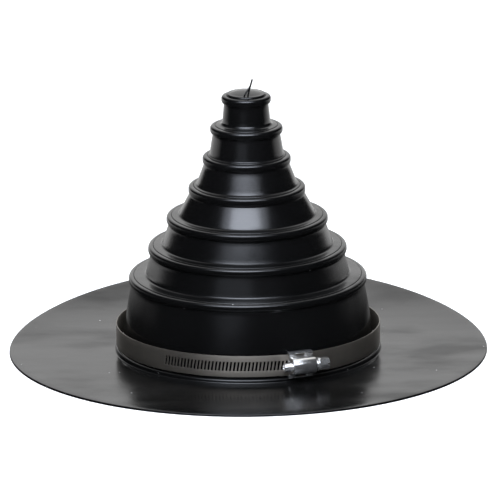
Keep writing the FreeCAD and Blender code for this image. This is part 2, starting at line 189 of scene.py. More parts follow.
class BootSizes(bpy.types.PropertyGroup):
    """Sizes of the moulded boot."""

    flange_radius: FloatProperty(
        name="Flange radius", description="Radius of the round flange", default=BOOT_HIGH.x, unit="LENGTH")
    flange_thickness: FloatProperty(
        name="Flange thickness", description="Thickness of the flange", default=1.6 * MM, unit="LENGTH")
    wall: FloatProperty(
        name="Wall", description="Thickness of the cone's wall", default=2.2 * MM, unit="LENGTH")
    pipe_fits: FloatVectorProperty(
        name="Pipe fits", description="Inside diameter at the top of each step, lowest first", size=7,
        default=(150.4 * MM, 124.2 * MM, 99.4 * MM, 71.8 * MM, 52.2 * MM, 40.4 * MM, 25.1 * MM),
        unit="LENGTH")
    riser_spreads: FloatVectorProperty(
        name="Riser spreads", description="How far each riser's foot stands out past its top", size=7,
        default=(6.8 * MM, 3.4 * MM, 4.9 * MM, 7.4 * MM, 5.2 * MM, 2.3 * MM, 1.4 * MM), unit="LENGTH")
    first_step_height: FloatProperty(
        name="First step", description="Height of the middle of the lowest bead",
        default=49.7 * MM, unit="LENGTH")
    step_rise: FloatProperty(
        name="Step rise", description="Height from one bead to the next", default=20.4 * MM, unit="LENGTH")
    bead_width: FloatProperty(
        name="Bead width", description="Width of the bead round each step", default=3.2 * MM, unit="LENGTH")
    beads_proud: FloatVectorProperty(
        name="Beads proud", description="How far each bead stands out past its riser", size=7,
        default=(1.7 * MM, 1.7 * MM, 1.7 * MM, 0.7 * MM, 1.0 * MM, 1.7 * MM, 1.7 * MM), unit="LENGTH")
    bead_round: FloatProperty(
        name="Bead rounding", description="Radius of a bead's outer shoulder",
        default=2.4 * MM, unit="LENGTH")
    bead_rise: FloatProperty(
        name="Bead rise", description="From a bead's middle up to its top", default=2.7 * MM, unit="LENGTH")
    bead_lip: FloatProperty(
        name="Bead lip", description="From a bead's middle down to its lower corner", default=1.6 * MM,
        unit="LENGTH")
    bead_lip_round: FloatProperty(
        name="Bead lip rounding", description="Radius of a bead's lower corner",
        default=2.2 * MM, unit="LENGTH")
    bead_drop: FloatProperty(
        name="Bead drop", description="From a bead's middle down to where it runs out", default=3.1 * MM,
        unit="LENGTH")
    groove_depth: FloatProperty(
        name="Groove depth", description="Depth of the groove inside a bead", default=0.9 * MM, unit="LENGTH")
    tread_edge_rise: FloatProperty(
        name="Tread edge", description="From the groove up to the edge of the tread", default=1.2 * MM,
        unit="LENGTH")
    tread_edge_inset: FloatProperty(
        name="Tread inset", description="From the groove in to the edge of the tread", default=0.4 * MM,
        unit="LENGTH")
    tread_edge_round: FloatProperty(
        name="Tread rounding", description="Radius of a tread's edge", default=0.6 * MM, unit="LENGTH")
    tread_rise: FloatProperty(
        name="Tread rise", description="Rise of a tread in to the next riser",
        default=0.3 * MM, unit="LENGTH")
    foot_rounds: FloatVectorProperty(
        name="Foot roundings", description="Radius at the foot of each riser", size=7,
        default=(3.0 * MM, 1.8 * MM, 1.8 * MM, 1.8 * MM, 1.8 * MM, 2.2 * MM, 4.5 * MM), unit="LENGTH")
    ledge_round: FloatProperty(
        name="Ledge rounding", description="Radius of the ledges inside", default=1.0 * MM, unit="LENGTH")
    base_bead_gap: FloatProperty(
        name="Base bead gap", description="From the lowest riser's foot out to the middle of the base bead",
        default=2.6 * MM, unit="LENGTH")
    base_bead_top: FloatProperty(
        name="Base bead top", description="Height of the bead round the foot",
        default=4.3 * MM, unit="LENGTH")
    base_bead_round: FloatProperty(
        name="Base bead rounding", description="Radius of the base bead's upper edges",
        default=1.5 * MM, unit="LENGTH")
    bottom_bulge: FloatProperty(
        name="Bottom bulge", description="Barrelling of the lowest riser", default=0.5 * MM, unit="LENGTH")
    crown_edge_rise: FloatProperty(
        name="Crown edge", description="Height of the crown's edge over its groove", default=2.2 * MM,
        unit="LENGTH")
    crown_edge_round: FloatProperty(
        name="Crown rounding", description="Radius of the crown's edge", default=1.0 * MM, unit="LENGTH")
    crown_bulge: FloatProperty(
        name="Crown bulge", description="Rise of the crown in to its middle", default=1.8 * MM, unit="LENGTH")
    crown_inside_rise: FloatProperty(
        name="Crown inside", description="Rise of the crown's inside", default=3.6 * MM, unit="LENGTH")
    lift_gap: FloatProperty(
        name="Lift gap", description="From the base bead out to the start of the flange's curl",
        default=5.0 * MM, unit="LENGTH")
    back_lift: FloatProperty(
        name="Back lift", description="How far the flange's back edge curls up", default=11.8 * MM,
        unit="LENGTH")
    wire_shift: FloatVectorProperty(
        name="Wire shift", description="Moves the packed wire on to the fuller crown", subtype="TRANSLATION",
        unit="LENGTH", default=(1.05 * MM, -0.6 * MM, 2.1 * MM))
    wire_edge: FloatProperty(
        name="Wire edge", description="Rounding of the wire's ends", default=0.1 * MM, unit="LENGTH")
    rubber: FloatVectorProperty(
        name="Rubber", description="Colour of the rubber", subtype="COLOR", default=(0.003, 0.003, 0.003))
    dust: FloatVectorProperty(
        name="Dust", description="Colour of the dust on the rubber", subtype="COLOR",
        default=(0.5, 0.49, 0.47))


class ClampSizes(bpy.types.PropertyGroup):
    """Sizes of the clamp's slotted band, and the colours of its steel."""

    band_radius: FloatProperty(
        name="Band radius", description="Radius inside the band", default=87.3 * MM, unit="LENGTH")
    band_thickness: FloatProperty(
        name="Band thickness", description="Thickness of the strip", default=0.65 * MM, unit="LENGTH")
    band_width: FloatProperty(
        name="Band width", description="Width of the strip", default=14.2 * MM, unit="LENGTH")
    layer_gap: FloatProperty(
        name="Layer gap", description="Room between the tail and the fixed end",
        default=0.05 * MM, unit="LENGTH")
    housing_angle: FloatProperty(
        name="Housing angle", description="Angle from the front to the middle of the housing",
        default=math.radians(22.5), unit="ROTATION")
    housing_length: FloatProperty(
        name="Housing length", description="Length of the housing along the band",
        default=16 * MM, unit="LENGTH")
    ramp_start: FloatProperty(
        name="Ramp start", description="Angle from the front where the tail climbs over the fixed end",
        default=math.radians(13.8), unit="ROTATION")
    ramp_room: FloatProperty(
        name="Ramp room", description="Angle between the top of the climb and the fixed end",
        default=math.radians(1.0), unit="ROTATION")
    tail_past_housing: FloatProperty(
        name="Tail", description="Length of tail past the housing", default=2 * MM, unit="LENGTH")
    slots_start: FloatProperty(
        name="First slot", description="Angle from the front of the first slot", default=math.radians(-38),
        unit="ROTATION")
    slot_pitch: FloatProperty(
        name="Slot pitch", description="Distance from slot to slot", default=2.45 * MM, unit="LENGTH")
    slot_width: FloatProperty(
        name="Slot width", description="Width of a slot", default=1.25 * MM, unit="LENGTH")
    slot_height: FloatProperty(
        name="Slot height", description="Height of a slot", default=6.2 * MM, unit="LENGTH")
    slot_slant: FloatProperty(
        name="Slot slant", description="Lean of the slots to the right",
        default=math.radians(9), unit="ROTATION")
    slot_margin: FloatProperty(
        name="Slot margin", description="Plain metal at the end of the tail", default=1.5 * MM, unit="LENGTH")
    edge: FloatProperty(
        name="Edge", description="Rounding of the band's edges", default=0.12 * MM, unit="LENGTH")
    pressed_edge: FloatProperty(
        name="Pressed edge", description="Rounding of the edges of the saddle and housing", default=0.22 * MM,
        unit="LENGTH")
    screw_edge: FloatProperty(
        name="Screw edge", description="Rounding of the screw's edges", default=0.15 * MM, unit="LENGTH")
    band_steel: FloatVectorProperty(
        name="Band steel", description="Colour of the strip", subtype="COLOR", default=(0.158, 0.143, 0.12))
    housing_steel: FloatVectorProperty(
        name="Housing steel", description="Colour of the pressed pieces", subtype="COLOR",
        default=(0.9, 0.89, 0.87))
    screw_steel: FloatVectorProperty(
        name="Screw steel", description="Colour of the screw", subtype="COLOR", default=(0.9, 0.89, 0.87))


class StageSettings(bpy.types.PropertyGroup):
    """Camera, lamps and backdrop."""

    camera_place: FloatVectorProperty(
        name="Camera", description="Place of the camera", subtype="TRANSLATION", unit="LENGTH",
        default=(0.0, -4.85, 1.40))
    camera_aim: FloatVectorProperty(
        name="Aim", description="Point in the middle of the picture", subtype="TRANSLATION", unit="LENGTH",
        default=(0.0017, 0.0, 0.0684))
    camera_roll: FloatProperty(
        name="Roll", description="Turn of the camera about its line of sight", default=math.radians(-0.5),
        unit="ROTATION")
    lens: FloatProperty(name="Lens", description="Focal length in millimetres", default=545.0)
    floor_size: FloatProperty(
        name="Floor", description="Half the width of the floor", default=8.0, unit="LENGTH")
    softbox_power: FloatProperty(
        name="Softbox", description="Power of the softbox in front", default=18.5, unit="POWER")
    softbox_core_power: FloatProperty(
        name="Softbox core", description="Power of the softbox's brighter middle", default=15.0, unit="POWER")
    overhead_power: FloatProperty(
        name="Overhead", description="Power of the soft light overhead", default=7.0, unit="POWER")
    fill_power: FloatProperty(
        name="Fill", description="Power of the weak light at the front left", default=4.5, unit="POWER")
    back_level: FloatProperty(name="Back", description="Brightness of the white back wall", default=1.0)
    top_gain: FloatProperty(
        name="Top gain", description="How much brighter the back wall is at its top", default=1.5)
    front_level: FloatProperty(
        name="Front", description="Brightness of the dark room in front", default=0.012)
    floor_glow: FloatProperty(
        name="Floor glow", description="Light added to the floor where the camera sees it", default=0.75)


def add_piece(name, bm, material, body, slot, *nodes):
    """Turns a finished bmesh into a piece that rides on a body and stands for CAD nodes."""
    for edge in bm.edges:
        edge.smooth = not (edge.is_manifold and edge.calc_face_angle() > SHARP_ANGLE)
    for face in bm.faces:
        face.smooth = True
    mesh = bpy.data.meshes.new(name)
    bm.to_mesh(mesh)
    bm.free()
    mesh.materials.append(material)
    piece = bpy.data.objects.new(name, mesh)
    bpy.context.scene.collection.objects.link(piece)
    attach(piece, body)
    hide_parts(*nodes)
    return piece


def softened_copy(node, edge_round):
    """A welded copy of a CAD node's mesh with its sharp edges rounded."""
    bm = bmesh.new()
    bm.from_mesh(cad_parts[node].data)
    bmesh.ops.remove_doubles(bm, verts=bm.verts, dist=WELD)
    bmesh.ops.dissolve_limit(bm, angle_limit=FLAT_ANGLE, verts=bm.verts, edges=bm.edges)
    sharp = [edge for edge in bm.edges if edge.is_manifold and edge.calc_face_angle() > SHARP_ANGLE]
    bmesh.ops.bevel(
        bm, geom=sharp, offset=edge_round, offset_type="OFFSET", segments=EDGE_SEGMENTS,
        profile=ROUND_PROFILE, affect="EDGES", clamp_overlap=True, material=-1)
    return bm


# Node helpers

def new_material(name):
    """A material with an empty tree but for its shader, which is returned with the tree."""
    material = bpy.data.materials.new(name)
    material.use_nodes = True
    tree = material.node_tree
    tree.nodes.clear()
    output = tree.nodes.new("ShaderNodeOutputMaterial")
    shader = tree.nodes.new("ShaderNodeBsdfPrincipled")
    tree.links.new(shader.outputs["BSDF"], output.inputs["Surface"])
    return material, tree, shader


def add_node(tree, kind, values=(), **settings):
    """A node with settings by attribute and values by input name."""
    node = tree.nodes.new(kind)
    for name, value in settings.items():
        setattr(node, name, value)
    for name, value in dict(values).items():
        node.inputs[name].default_value = value
    return node


def new_group(name, inputs, outputs):
    """A shader node group with named sockets: inputs give a type and a default, outputs a type."""
    group = bpy.data.node_groups.new(name, "ShaderNodeTree")
    for socket, (kind, default) in inputs.items():
        made = group.interface.new_socket(socket, in_out="INPUT", socket_type=kind)
        made.default_value = default
    for socket, kind in outputs.items():
        group.interface.new_socket(socket, in_out="OUTPUT", socket_type=kind)
    return group, group.nodes.new("NodeGroupInput"), group.nodes.new("NodeGroupOutput")


def place_group(tree, group, values):
    """A node that uses a group, with values by input name."""
    node = tree.nodes.new("ShaderNodeGroup")
    node.node_tree = group
    for name, value in values.items():
        node.inputs[name].default_value = value
    return node


def object_noise(tree, scale, detail, stretch=(1, 1, 1)):
    """Noise on the piece's own coordinates, stretched along its axes."""
    place = add_node(tree, "ShaderNodeTexCoord")
    mapping = add_node(tree, "ShaderNodeMapping", {"Scale": stretch})
    noise = add_node(tree, "ShaderNodeTexNoise", {"Scale": scale, "Detail": detail})
    tree.links.new(place.outputs["Object"], mapping.inputs["Vector"])
    tree.links.new(mapping.outputs["Vector"], noise.inputs["Vector"])
    return noise.outputs["Fac"]


def mapped(tree, value, from_range, to_low=0.0, to_high=1.0):
    """A value moved from one range to another and kept inside it."""
    node = add_node(
        tree, "ShaderNodeMapRange",
        {"From Min": from_range[0], "From Max": from_range[1], "To Min": to_low, "To Max": to_high})
    tree.links.new(value, node.inputs["Value"])
    return node.outputs["Result"]


def joined(tree, operation, first, second):
    """Two values, or a value and a number, put through a Math node."""
    node = add_node(tree, "ShaderNodeMath", operation=operation)
    for socket, value in zip(node.inputs, (first, second)):
        if isinstance(value, (int, float)):
            socket.default_value = value
        else:
            tree.links.new(value, socket)
    return node.outputs["Value"]


def mixed(tree, share, first, second):
    """Two colours mixed by a share."""
    node = add_node(tree, "ShaderNodeMix", data_type="RGBA")
    tree.links.new(share, node.inputs["Factor"])
    tree.links.new(first, node.inputs[MIX_FIRST])
    tree.links.new(second, node.inputs[MIX_SECOND])
    return node.outputs[MIX_RESULT]


def dust_group():
    """Dust and pale specks on upward faces, wipe marks in the gloss, and smears that dull the shine."""
    group, start, end = new_group(
        "Dust and wipes",
        {
            "Surface": ("NodeSocketColor", (0, 0, 0, 1)),
            "Dust": ("NodeSocketColor", (1, 1, 1, 1)),
            "Dust Amount": ("NodeSocketFloat", 0.05),
            "Speck Amount": ("NodeSocketFloat", 0.5),
            "Gloss": ("NodeSocketFloat", 0.3),
            "Wipe Amount": ("NodeSocketFloat", 0.1),
            "Smear Amount": ("NodeSocketFloat", 0.2),
        },
        {
            "Color": "NodeSocketColor",
            "Roughness": "NodeSocketFloat",
            "Shine": "NodeSocketFloat",
            "Height": "NodeSocketFloat",
        })
    geometry = add_node(group, "ShaderNodeNewGeometry")
    normal = add_node(group, "ShaderNodeSeparateXYZ")
    group.links.new(geometry.outputs["Normal"], normal.inputs["Vector"])
    upward = mapped(group, normal.outputs["Z"], FACING_UP, SIDE_DUST)
    patches = mapped(group, object_noise(group, PATCH_SCALE, PATCH_DETAIL), PATCH_RANGE)
    wipes = mapped(group, object_noise(group, WIPE_SCALE, WIPE_DETAIL, WIPE_STRETCH), WIPE_RANGE)
    grain = object_noise(group, GRAIN_SCALE, GRAIN_DETAIL)
    specks = add_node(group, "ShaderNodeTexVoronoi", {"Scale": SPECK_SCALE, "Randomness": 1.0})
    place = add_node(group, "ShaderNodeTexCoord")
    group.links.new(place.outputs["Object"], specks.inputs["Vector"])
    near = mapped(group, specks.outputs["Distance"], SPECK_EDGE, 1.0, 0.0)
    tint = add_node(group, "ShaderNodeSeparateColor")
    group.links.new(specks.outputs["Color"], tint.inputs["Color"])
    chosen = joined(group, "GREATER_THAN", tint.outputs["Red"], SPECK_RARITY)
    speck = joined(group, "MULTIPLY", joined(group, "MULTIPLY", near, chosen), upward)
    speck = joined(group, "MULTIPLY", speck, start.outputs["Speck Amount"])
    film = joined(group, "MULTIPLY", joined(group, "MULTIPLY", patches, upward), start.outputs["Dust Amount"])
    share = joined(group, "MAXIMUM", film, speck)
    group.links.new(mixed(group, share, start.outputs["Surface"], start.outputs["Dust"]), end.inputs["Color"])
    rough = joined(group, "MULTIPLY", wipes, start.outputs["Wipe Amount"])
    rough = joined(group, "ADD", joined(group, "ADD", rough, start.outputs["Gloss"]), share)
    group.links.new(rough, end.inputs["Roughness"])
    smears = mapped(group, object_noise(group, SMEAR_SCALE, SMEAR_DETAIL, SMEAR_STRETCH), SMEAR_RANGE)
    dulled = joined(group, "MULTIPLY", smears, start.outputs["Smear Amount"])
    group.links.new(joined(group, "SUBTRACT", CLEAN_SHINE, dulled), end.inputs["Shine"])
    waves = joined(group, "MULTIPLY", object_noise(group, WAVE_SCALE, WAVE_DETAIL), WAVE_HEIGHT)
    relief = joined(group, "ADD", waves, joined(group, "MULTIPLY", grain, GRAIN_HEIGHT))
    group.links.new(joined(group, "ADD", relief, speck), end.inputs["Height"])
    return group


def steel_group():
    """Drawn streaks and brown stains for steel."""
    group, start, end = new_group(
        "Drawn steel",
        {
            "Steel": ("NodeSocketColor", (0.6, 0.6, 0.6, 1)),
            "Tint": ("NodeSocketColor", (0.3, 0.25, 0.2, 1)),
            "Tint Amount": ("NodeSocketFloat", 0.2),
            "Gloss": ("NodeSocketFloat", 0.25),
            "Streaks": ("NodeSocketFloat", 0.12),
        },
        {"Color": "NodeSocketColor", "Roughness": "NodeSocketFloat", "Height": "NodeSocketFloat"})
    streaks = object_noise(group, STREAK_SCALE, STREAK_DETAIL, STREAK_STRETCH)
    stains = mapped(group, object_noise(group, STAIN_SCALE, STAIN_DETAIL), STAIN_RANGE)
    share = joined(group, "MULTIPLY", stains, start.outputs["Tint Amount"])
    group.links.new(mixed(group, share, start.outputs["Steel"], start.outputs["Tint"]), end.inputs["Color"])
    rough = joined(group, "MULTIPLY", mapped(group, streaks, STREAK_RANGE), start.outputs["Streaks"])
    group.links.new(joined(group, "ADD", rough, start.outputs["Gloss"]), end.inputs["Roughness"])
    group.links.new(streaks, end.inputs["Height"])
    return group


def shared_group(name, make):
    """The named node group, made on first use."""
    return bpy.data.node_groups.get(name) or make()


def dress(tree, shader, group_node, bump_strength, bump_depth):
    """Feeds a group's colour, roughness and height to the shader."""
    bump = add_node(tree, "ShaderNodeBump", {"Strength": bump_strength, "Distance": bump_depth})
    tree.links.new(group_node.outputs["Color"], shader.inputs["Base Color"])
    tree.links.new(group_node.outputs["Roughness"], shader.inputs["Roughness"])
    tree.links.new(group_node.outputs["Height"], bump.inputs["Height"])
    tree.links.new(bump.outputs["Normal"], shader.inputs["Normal"])


def rubber_material(name, colour, dust, finish):
    """Black rubber or plastic with dust, wipe marks and smears."""
    material, tree, shader = new_material(name)
    node = place_group(tree, shared_group("Dust and wipes", dust_group), {
        "Surface": (*colour, 1),
        "Dust": (*dust, 1),
        "Dust Amount": finish.dust,
        "Speck Amount": finish.specks,
        "Gloss": finish.gloss,
        "Wipe Amount": finish.wipes,
        "Smear Amount": finish.smears,
    })
    dress(tree, shader, node, RUBBER_BUMP, RUBBER_RELIEF)
    tree.links.new(node.outputs["Shine"], shader.inputs["Specular IOR Level"])
    shader.inputs["IOR"].default_value = RUBBER_IOR
    return material


def steel_material(name, colour, finish):
    """Steel under a dull film; brushing runs round the clamp and stretches highlights up and down."""
    material, tree, shader = new_material(name)
    node = place_group(tree, shared_group("Drawn steel", steel_group), {
        "Steel": (*colour, 1),
        "Tint": STAIN_BROWN,
        "Tint Amount": finish.stains,
        "Gloss": finish.gloss,
        "Streaks": finish.streaks,
    })
    dress(tree, shader, node, STEEL_BUMP, STEEL_RELIEF)
    shader.inputs["Metallic"].default_value = 1.0 - finish.film
    if finish.brushing:
        around = add_node(tree, "ShaderNodeTangent", direction_type="RADIAL", axis="Z")
        tree.links.new(around.outputs["Tangent"], shader.inputs["Tangent"])
        shader.inputs["Anisotropic"].default_value = finish.brushing
        shader.inputs["Anisotropic Rotation"].default_value = BRUSHING_TURN
    return material


# Boot

def riser_top(sizes, step):
    return sizes.pipe_fits[step] / 2 + sizes.wall


def riser_foot(sizes, step):
    return riser_top(sizes, step) + sizes.riser_spreads[step]


def bead_height(sizes, step):
    return sizes.first_step_height + step * sizes.step_rise


def groove_height(sizes, step):
    """Height of the groove inside a step's bead."""
    return bead_height(sizes, step) + sizes.bead_rise - sizes.groove_depth


def tread_height(sizes, step):
    """Height of the tread on top of a step, or of the flange under the lowest step."""
    return groove_height(sizes, step) + sizes.tread_edge_rise if step >= 0 else sizes.flange_thickness


def ledge_height(sizes, step):
    """Height of the inside of the shell under a tread, or of the open underside."""
    return groove_height(sizes, step) - sizes.wall if step >= 0 else 0


def outer_corners(sizes):
    """Outside of the boot as (radius, height, rounding), from the flange's edge up to the crown's edge."""
    half_bead = sizes.bead_width / 2
    base_bead = riser_foot(sizes, 0) + sizes.base_bead_gap
    top = len(sizes.pipe_fits) - 1
    corners = [
        (sizes.flange_radius, 0, RIM_FOOT_SHARE * sizes.flange_thickness),
        (sizes.flange_radius, sizes.flange_thickness, RIM_TOP_SHARE * sizes.flange_thickness),
        (base_bead + half_bead, sizes.flange_thickness, BASE_BEAD_OUTSIDE_SHARE * half_bead),
        (base_bead + half_bead, sizes.base_bead_top, sizes.base_bead_round),
        (base_bead - half_bead, sizes.base_bead_top, sizes.base_bead_round),
        (base_bead - half_bead, sizes.flange_thickness, BASE_BEAD_INSIDE_SHARE * half_bead),
    ]
    for step in range(top + 1):
        middle = bead_height(sizes, step)
        bead_out = riser_top(sizes, step) + sizes.beads_proud[step]
        bead_in = bead_out - sizes.bead_width
        foot = tread_height(sizes, step - 1) + sizes.tread_rise
        corners.append((riser_foot(sizes, step), foot, sizes.foot_rounds[step]))
        if step == 0:
            waist = (riser_top(sizes, 0) + riser_foot(sizes, 0)) / 2 + sizes.bottom_bulge
            corners.append((waist, sizes.first_step_height / 2, WIDEST_ROUND))
        corners.append((riser_top(sizes, step), middle - sizes.bead_drop, BEAD_FOOT_SHARE * half_bead))
        corners.append((bead_out, middle - sizes.bead_lip, sizes.bead_lip_round))
        corners.append((bead_out, middle + sizes.bead_rise, sizes.bead_round))
        corners.append((bead_in, middle + sizes.bead_rise, 0))
        corners.append((bead_in, groove_height(sizes, step), 0))
        if step < top:
            tread_edge = bead_in - sizes.tread_edge_inset
            corners.append((tread_edge, tread_height(sizes, step), sizes.tread_edge_round))
    crown_radius = bead_in - sizes.tread_edge_inset
    crown_height = groove_height(sizes, top) + sizes.crown_edge_rise
    corners.append((crown_radius, crown_height, sizes.crown_edge_round))
    corners.append((crown_radius - 2 * sizes.crown_edge_round, crown_height, 0))
    return corners


def dome_points(edge_radius, edge_height, rise):
    """Points of a crown's arc, from just inside its edge to the axis."""
    sphere = (edge_radius ** 2 + rise ** 2) / (2 * rise)
    opening = math.asin(edge_radius / sphere)
    points = []
    for row in range(1, CROWN_ROWS + 1):
        angle = opening * (1 - row / CROWN_ROWS)
        height = edge_height + rise - sphere * (1 - math.cos(angle))
        points.append((sphere * math.sin(angle), height, 0))
    return points


def inner_corners(sizes):
    """Inside of the boot, from the ledge under the top step down to the flange's underside."""
    top = len(sizes.pipe_fits) - 1
    corners = [(sizes.pipe_fits[top] / 2, ledge_height(sizes, top - 1), sizes.ledge_round)]
    for step in reversed(range(top)):
        bore = sizes.pipe_fits[step] / 2
        foot_inside = riser_foot(sizes, step) - sizes.wall
        corners.append((bore, ledge_height(sizes, step), sizes.ledge_round))
        corners.append((bore, bead_height(sizes, step) - sizes.bead_drop, sizes.foot_rounds[step]))
        corners.append((foot_inside, tread_height(sizes, step - 1) + sizes.tread_rise, sizes.ledge_round))
        corners.append((foot_inside, ledge_height(sizes, step - 1), sizes.ledge_round if step else 0))
    return corners


def rounding_reach(before, corner, after):
    """How far a corner's arc reaches along its two sides, within the room that they have."""
    back = Vector(before[:2]) - Vector(corner[:2])
    ahead = Vector(after[:2]) - Vector(corner[:2])
    room_back = back.length * ROUNDING_SHARE / (2 if before[2] else 1)
    room_ahead = ahead.length * ROUNDING_SHARE / (2 if after[2] else 1)
    return min(corner[2] / math.tan(back.angle(ahead) / 2), room_back, room_ahead)


def boot_section(bm, sizes):
    """The boot's closed section as a loop of edges in the XZ plane, with its corners rounded."""
    outside = outer_corners(sizes)
    top = len(sizes.pipe_fits) - 1
    socket = (sizes.pipe_fits[top] / 2, ledge_height(sizes, top), 0)
    crown = dome_points(*outside[-1][:2], sizes.crown_bulge)
    crown_inside = dome_points(*socket[:2], sizes.crown_inside_rise)
    corners = outside + crown + crown_inside[::-1] + [socket] + inner_corners(sizes)
    verts = [bm.verts.new((radius, 0, height)) for radius, height, _ in corners]
    for first, second in zip(verts, verts[1:] + verts[:1]):
        bm.edges.new((first, second))
    reaches = []
    for number, corner in enumerate(corners):
        if corner[2]:
            after = corners[(number + 1) % len(corners)]
            reaches.append((verts[number], rounding_reach(corners[number - 1], corner, after)))
    for vert, reach in reaches:
        bmesh.ops.bevel(
            bm, geom=[vert], offset=reach, offset_type="OFFSET", segments=ROUND_SEGMENTS,
            profile=ROUND_PROFILE, affect="VERTICES", material=-1)
    flange_start = riser_foot(sizes, 0) + sizes.base_bead_gap
    for edge in list(bm.edges):
        on_flange = min(vert.co.x for vert in edge.verts) > flange_start
        cuts = int(edge.calc_length() / (FLANGE_ROW_LENGTH if on_flange else ROW_LENGTH))
        if cuts and max(vert.co.x for vert in edge.verts) > WELD:
            bmesh.ops.subdivide_edges(bm, edges=[edge], cuts=cuts)


def lift_flange(bm, sizes):
    """Curls the back of the flange off the floor along a parabola, most at its back edge."""
    start = riser_foot(sizes, 0) + sizes.base_bead_gap + sizes.lift_gap
    for vert in bm.verts:
        radius = math.hypot(vert.co.x, vert.co.y)
        if radius > start and vert.co.y > 0:
            share = (radius - start) / (sizes.flange_radius - start)
            vert.co.z += sizes.back_lift * (vert.co.y / radius * share) ** 2


class PIPEBOOT_OT_rubber_boot(bpy.types.Operator):
    """Spin the stepped cone and its flange"""

    bl_idname = "pipe_boot.rubber_boot"
    bl_label = "Rubber Boot"

    def execute(self, context):
        sizes = context.scene.boot_sizes
        bm = bmesh.new()
        boot_section(bm, sizes)
        bmesh.ops.spin(
            bm, geom=bm.verts[:] + bm.edges[:], cent=ORIGIN, axis=UP, dvec=ORIGIN, angle=FULL_TURN,
            steps=SPIN_STEPS, use_merge=True, use_duplicate=False)
        bmesh.ops.remove_doubles(bm, verts=bm.verts, dist=WELD)
        bmesh.ops.recalc_face_normals(bm, faces=bm.faces)
        lift_flange(bm, sizes)
        material = rubber_material("Boot rubber", sizes.rubber, sizes.dust, BOOT_FINISH)
        add_piece("rubber_boot_skin", bm, material, "boot", "boot_rubber", "rubber_boot")
        return {"FINISHED"}


class PIPEBOOT_OT_tie_wire(bpy.types.Operator):
    """Finish the wire on the crown"""

    bl_idname = "pipe_boot.tie_wire"
    bl_label = "Tie Wire"

    def execute(self, context):
        sizes = context.scene.boot_sizes
        bm = softened_copy("tie_wire", sizes.wire_edge)
        bmesh.ops.translate(bm, verts=bm.verts, vec=sizes.wire_shift)
        material = rubber_material("Wire coating", sizes.rubber, sizes.dust, WIRE_FINISH)
        add_piece("tie_wire_strand", bm, material, "boot", "black_wire", "tie_wire")
        return {"FINISHED"}


# Clamp

def band_columns(sizes):
    """Angles of the strip's columns from the fixed end to the tail, and which columns start a slot."""
    outer = sizes.band_radius + sizes.band_thickness
    half_housing = sizes.housing_length / 2 / outer
    fixed_end = sizes.housing_angle - half_housing
    tail_end = sizes.housing_angle + half_housing + sizes.tail_past_housing / outer + FULL_TURN
    first_slot = sizes.slots_start + FULL_TURN
    pitch = sizes.slot_pitch / outer
    half_slot = sizes.slot_width / 2 / outer
    columns = [(fixed_end, False)]
    plain = int((first_slot - fixed_end) / BAND_COLUMN)
    for number in range(1, plain):
        columns.append((fixed_end + (first_slot - fixed_end) * number / plain, False))
    slots = int((tail_end - sizes.slot_margin / outer - half_slot * 2 - first_slot) / pitch) + 1
    for number in range(slots):
        columns.append((first_slot + number * pitch - half_slot, True))
        columns.append((first_slot + number * pitch + half_slot, False))
    columns.append((tail_end, False))
    return columns, fixed_end


def flat_strip(bm, sizes, columns):
    """The unrolled strip along X, by extruding one end, with its slots left open."""
    outer = sizes.band_radius + sizes.band_thickness
    half = sizes.band_width / 2
    half_slot = sizes.slot_height / 2
    heights = (-half, -half_slot, half_slot, half)
    end = [bm.verts.new((columns[0][0] * outer, 0, height)) for height in heights]
    edges = [bm.edges.new(pair) for pair in zip(end, end[1:])]
    slot_faces = []
    for (angle, slot), (next_angle, _) in zip(columns, columns[1:]):
        made = bmesh.ops.extrude_edge_only(bm, edges=edges)["geom"]
        verts = [item for item in made if isinstance(item, bmesh.types.BMVert)]
        faces = [item for item in made if isinstance(item, bmesh.types.BMFace)]
        bmesh.ops.translate(bm, verts=verts, vec=RIGHT * ((next_angle - angle) * outer))
        made_edges = [item for item in made if isinstance(item, bmesh.types.BMEdge)]
        edges = [edge for edge in made_edges if set(edge.verts) <= set(verts)]
        if slot:
            slot_faces += [face for face in faces if abs(face.calc_center_median().z) < WELD]
    bmesh.ops.delete(bm, geom=slot_faces, context="FACES_ONLY")
    first_slot = (sizes.slots_start + FULL_TURN) * outer - sizes.slot_width
    for vert in bm.verts:
        if vert.co.x > first_slot and abs(vert.co.z) < half - WELD and vert not in end:
            vert.co.x += vert.co.z * math.tan(sizes.slot_slant)


def roll_strip(bm, sizes, fixed_end):
    """Rolls the flat strip round the boot, with its tail climbing over the fixed end."""
    outer = sizes.band_radius + sizes.band_thickness
    ramp_start = sizes.ramp_start + FULL_TURN
    ramp_end = fixed_end + FULL_TURN - sizes.ramp_room
    for vert in bm.verts:
        angle = vert.co.x / outer
        climb = min(max((angle - ramp_start) / (ramp_end - ramp_start), 0), 1)
        radius = sizes.band_radius + vert.co.y + climb * (sizes.band_thickness + sizes.layer_gap)
        vert.co = (radius * math.sin(angle), -radius * math.cos(angle), vert.co.z)


def settle_band(bm, sizes):
    """Leans the band back on the base bead, by as much as its box in the frame is higher than its width."""
    back = Vector((0, sizes.band_radius + sizes.band_thickness / 2, -sizes.band_width / 2))
    reach = back.y + sizes.band_radius + sizes.band_thickness
    raised = BAND_HIGH.z - BAND_LOW.z - sizes.band_width
    lean = Matrix.Rotation(-math.asin(raised / reach), 4, "X")
    place = Matrix.Translation(Vector((0, back.y, BAND_LOW.z))) @ lean @ Matrix.Translation(-back)
    bmesh.ops.transform(bm, matrix=place, verts=bm.verts)


